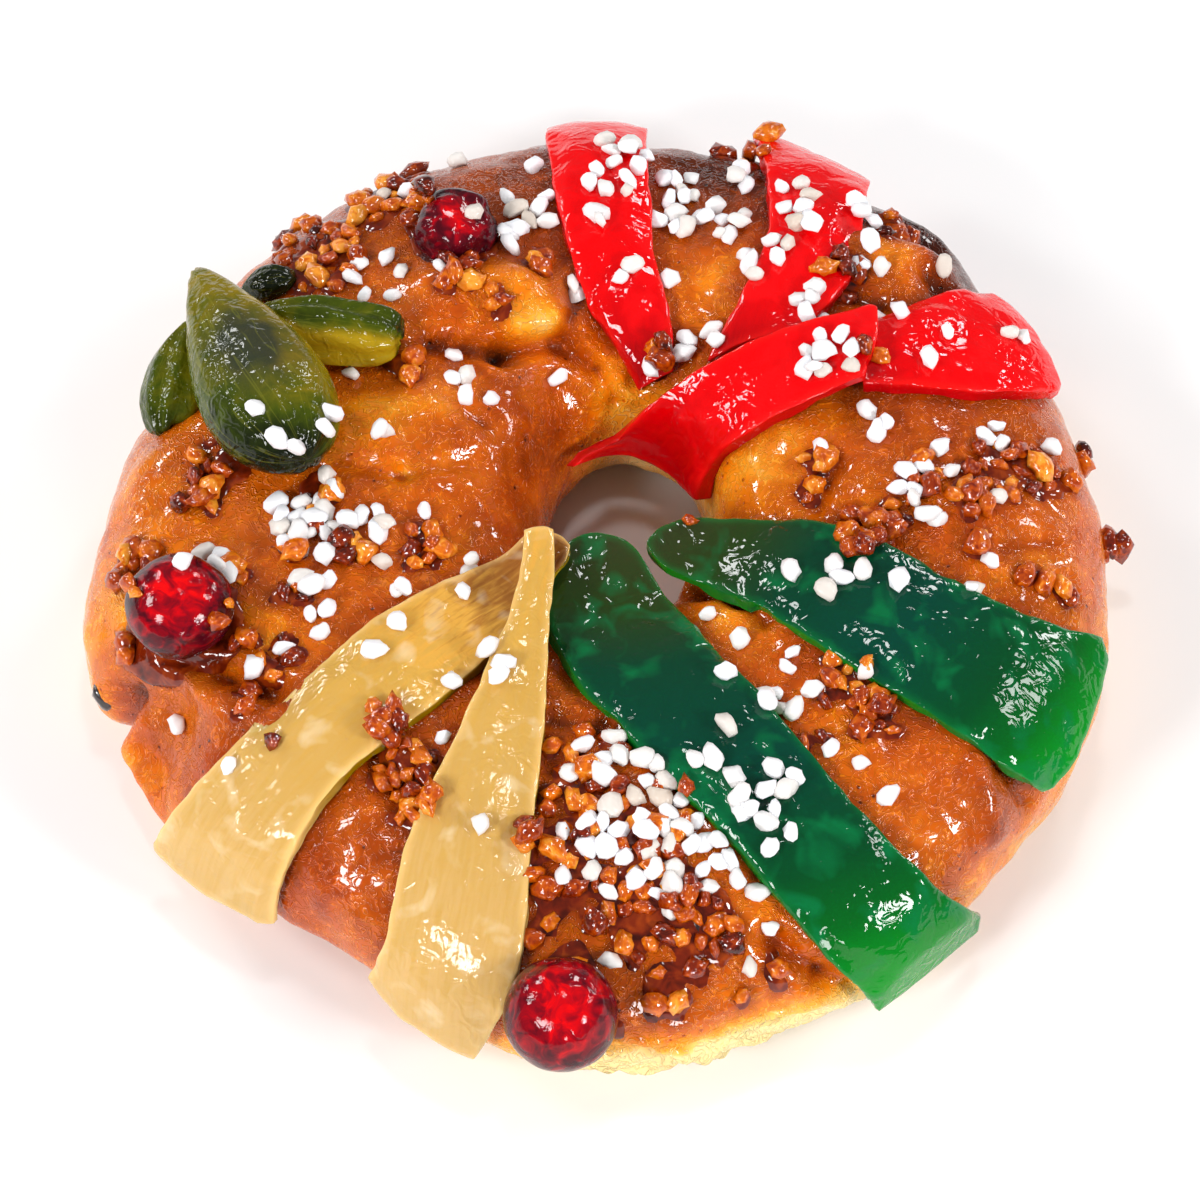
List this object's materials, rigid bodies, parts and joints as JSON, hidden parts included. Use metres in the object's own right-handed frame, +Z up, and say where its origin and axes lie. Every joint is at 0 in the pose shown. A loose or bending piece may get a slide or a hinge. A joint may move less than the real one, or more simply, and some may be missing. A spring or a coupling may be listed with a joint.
{
  "type": "roscon de reyes",
  "caption": "Glazed sweet bread ring for a festive table, crossed by strips of candied fruit, with candied cherries, candied green figs, pearl sugar and caramel nuts.",
  "frame": {"origin": "middle of the footprint, on the flat underside that the ring rests on", "axes": "+Z up out of the crown, -Y towards the front cherry and the two cream strips, +X to the right"},
  "size_m": [0.229, 0.2498, 0.0668],
  "materials": {
    "crust": "glazed baked crust",
    "red_fruit": "syrup glaze",
    "green_fruit": "syrup glaze",
    "cream_fruit": "syrup glaze",
    "cherry": "syrup glaze",
    "fig": "syrup glaze",
    "pearl_sugar": "sugar crystal",
    "caramel_nut": "caramel glaze",
    "syrup": "dried syrup"
  },
  "bodies": {
    "root": {"bread": "crust", "red_strip_back": "red_fruit", "red_strip_right_back": "red_fruit", "red_strip_right_outer": "red_fruit", "red_strip_right_inner": "red_fruit", "green_strip_right": "green_fruit", "green_strip_front": "green_fruit", "cream_strip_left": "cream_fruit", "cream_strip_front": "cream_fruit", "cherry_left": "cherry", "cherry_back": "cherry", "cherry_front": "cherry", "fig_large": "fig", "fig_right": "fig", "fig_left": "fig", "fig_far": "fig"}
  },
  "joints": []
}
